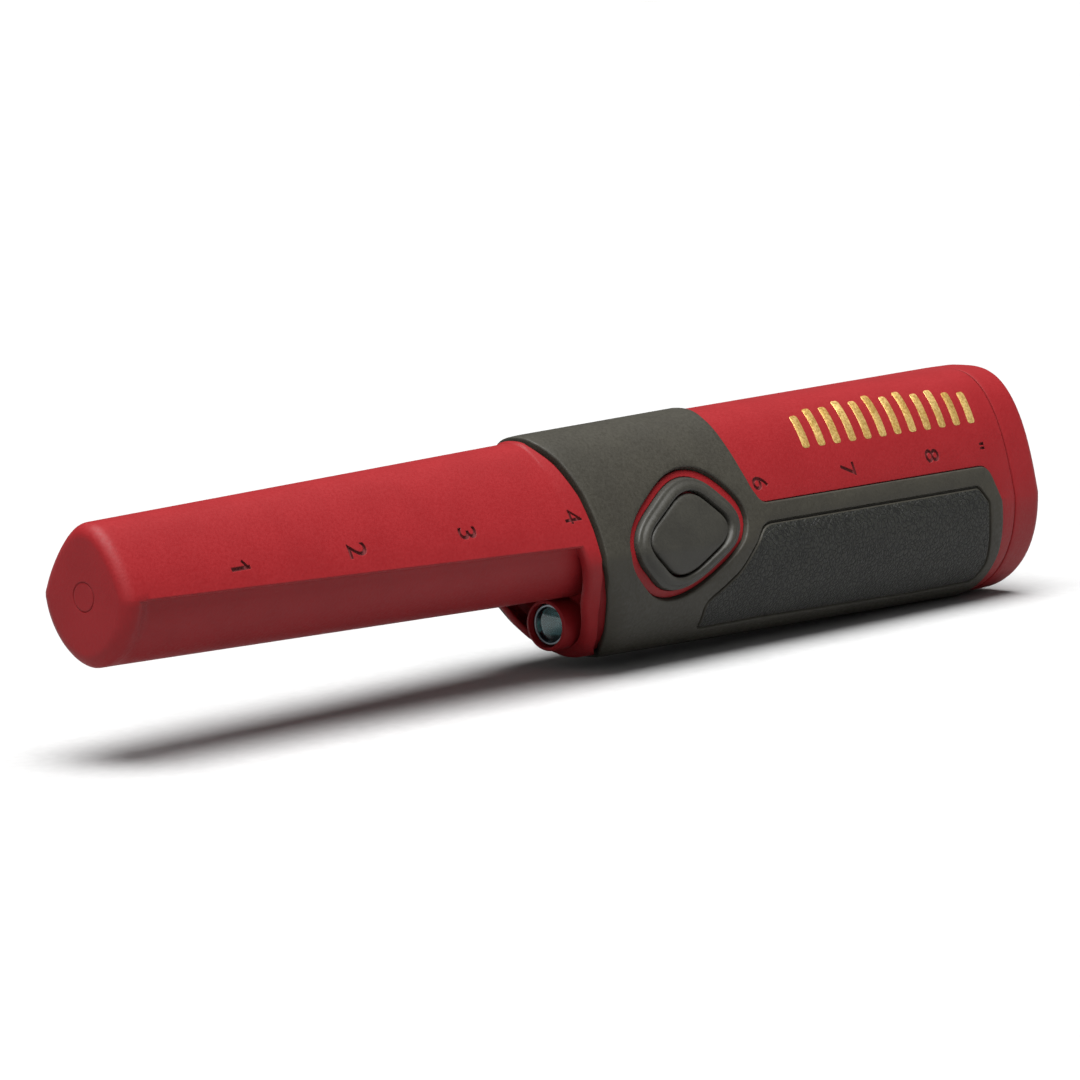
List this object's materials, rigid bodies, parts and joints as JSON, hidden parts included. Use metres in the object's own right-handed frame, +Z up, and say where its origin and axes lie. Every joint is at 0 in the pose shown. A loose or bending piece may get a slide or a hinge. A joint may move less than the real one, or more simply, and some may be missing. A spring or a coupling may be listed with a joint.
{
  "type": "pinpointer probe",
  "caption": "Hand-held metal-detecting pinpointer: tapered sensing shaft, rubber-gripped handle with side power key, torch under the shaft, twist-off battery cap.",
  "frame": {"origin": "on the plane of symmetry, half way along the probe, at the height of the lowest point of the rubber belly", "axes": "+X along the probe from the sensing tip to the battery cap, +Z up with the torch below the shaft, the power key on the -Y side"},
  "size_m": [0.235, 0.0352, 0.0443],
  "materials": {
    "casing_abs": "satin moulded ABS, fine spark texture",
    "grip_rubber": "matt overmoulded thermoplastic rubber",
    "key_rubber": "smooth satin silicone rubber",
    "torch_glass": "clear polycarbonate",
    "reflector_chrome": "vacuum-metallised",
    "led_epoxy": "clear epoxy with phosphor",
    "seal_rubber": "nitrile rubber",
    "board_laminate": "solder-masked glass epoxy",
    "chip_epoxy": "moulded epoxy",
    "coil_copper": "enamelled copper wire",
    "ferrite": "sintered, unpolished",
    "nylon_natural": "natural nylon",
    "foam_grey": "open-cell foam",
    "steel_plated": "nickel-plated steel",
    "brass_contact": "bright brass",
    "cell_wrap": "printed-sleeve colour, plain",
    "black_plastic": "moulded ABS",
    "wire_red": "PVC insulation",
    "wire_black": "PVC insulation"
  },
  "bodies": {
    "body": {"casing": "casing_abs", "grip": "grip_rubber", "key_bezel": "key_rubber", "key_seal": "seal_rubber", "torch_lens": "torch_glass", "torch_seal": "seal_rubber", "torch_reflector": "reflector_chrome", "torch_led": "led_epoxy", "torch_led_board": "board_laminate", "tip_pad": "foam_grey", "coil_bobbin": "nylon_natural", "coil_winding": "coil_copper", "ferrite_core": "ferrite", "coil_stopper": "nylon_natural", "main_board": "board_laminate", "board_tray": "black_plastic", "board_screw_1": "steel_plated", "board_screw_2": "steel_plated", "switch_body": "black_plastic", "controller_chip": "chip_epoxy", "amplifier_chip": "chip_epoxy", "drive_transistor": "chip_epoxy", "boost_coil": "ferrite", "reservoir_capacitor": "cell_wrap", "sounder": "brass_contact", "motor_can": "steel_plated", "motor_sleeve": "seal_rubber", "cell_holder": "black_plastic", "cell_1": "cell_wrap", "cell_2": "cell_wrap", "contact_plus": "brass_contact", "contact_spring": "steel_plated", "coil_lead_1": "wire_red", "coil_lead_2": "wire_black", "torch_lead_1": "wire_red", "torch_lead_2": "wire_black", "motor_lead_1": "wire_red", "motor_lead_2": "wire_black", "sounder_lead_1": "wire_red", "sounder_lead_2": "wire_black", "battery_lead_plus": "wire_red", "battery_lead_minus": "wire_black"},
    "power_key": {"power_key": "key_rubber"},
    "switch_plunger": {"switch_plunger": "nylon_natural"},
    "cap_slider": {"cap_o_ring": "seal_rubber"},
    "battery_cap": {"battery_cap": "casing_abs", "cap_contact_disc": "brass_contact", "cap_contact_pin": "steel_plated"},
    "motor_weight": {"motor_weight": "steel_plated"}
  },
  "joints": [
    {"name": "key_press", "type": "slide", "parent": "body", "child": "power_key", "axis": [0, 1, 0], "range_m": [0, 0.001], "stiffness_N_per_m": 3000},
    {"name": "plunger_press", "type": "slide", "parent": "body", "child": "switch_plunger", "axis": [0, 1, 0], "range_m": [0, 0.001]},
    {"name": "cap_draw", "type": "slide", "parent": "body", "child": "cap_slider", "axis": [1, 0, 0], "range_m": [0, 0.0094]},
    {"name": "cap_twist", "type": "hinge", "parent": "cap_slider", "child": "battery_cap", "pos_m": [0.1075, 0, 0.02105], "axis": [1, 0, 0], "range_deg": [0, 90]},
    {"name": "motor_spin", "type": "hinge", "parent": "body", "child": "motor_weight", "pos_m": [0.0155, -0.0055, 0.01305], "axis": [1, 0, 0], "continuous": true}
  ],
  "couplings": [
    {"joint": "plunger_press", "follows": "key_press", "ratio": 1},
    {"joint": "cap_twist", "follows": "cap_draw", "rad_per_m": 167.1}
  ]
}
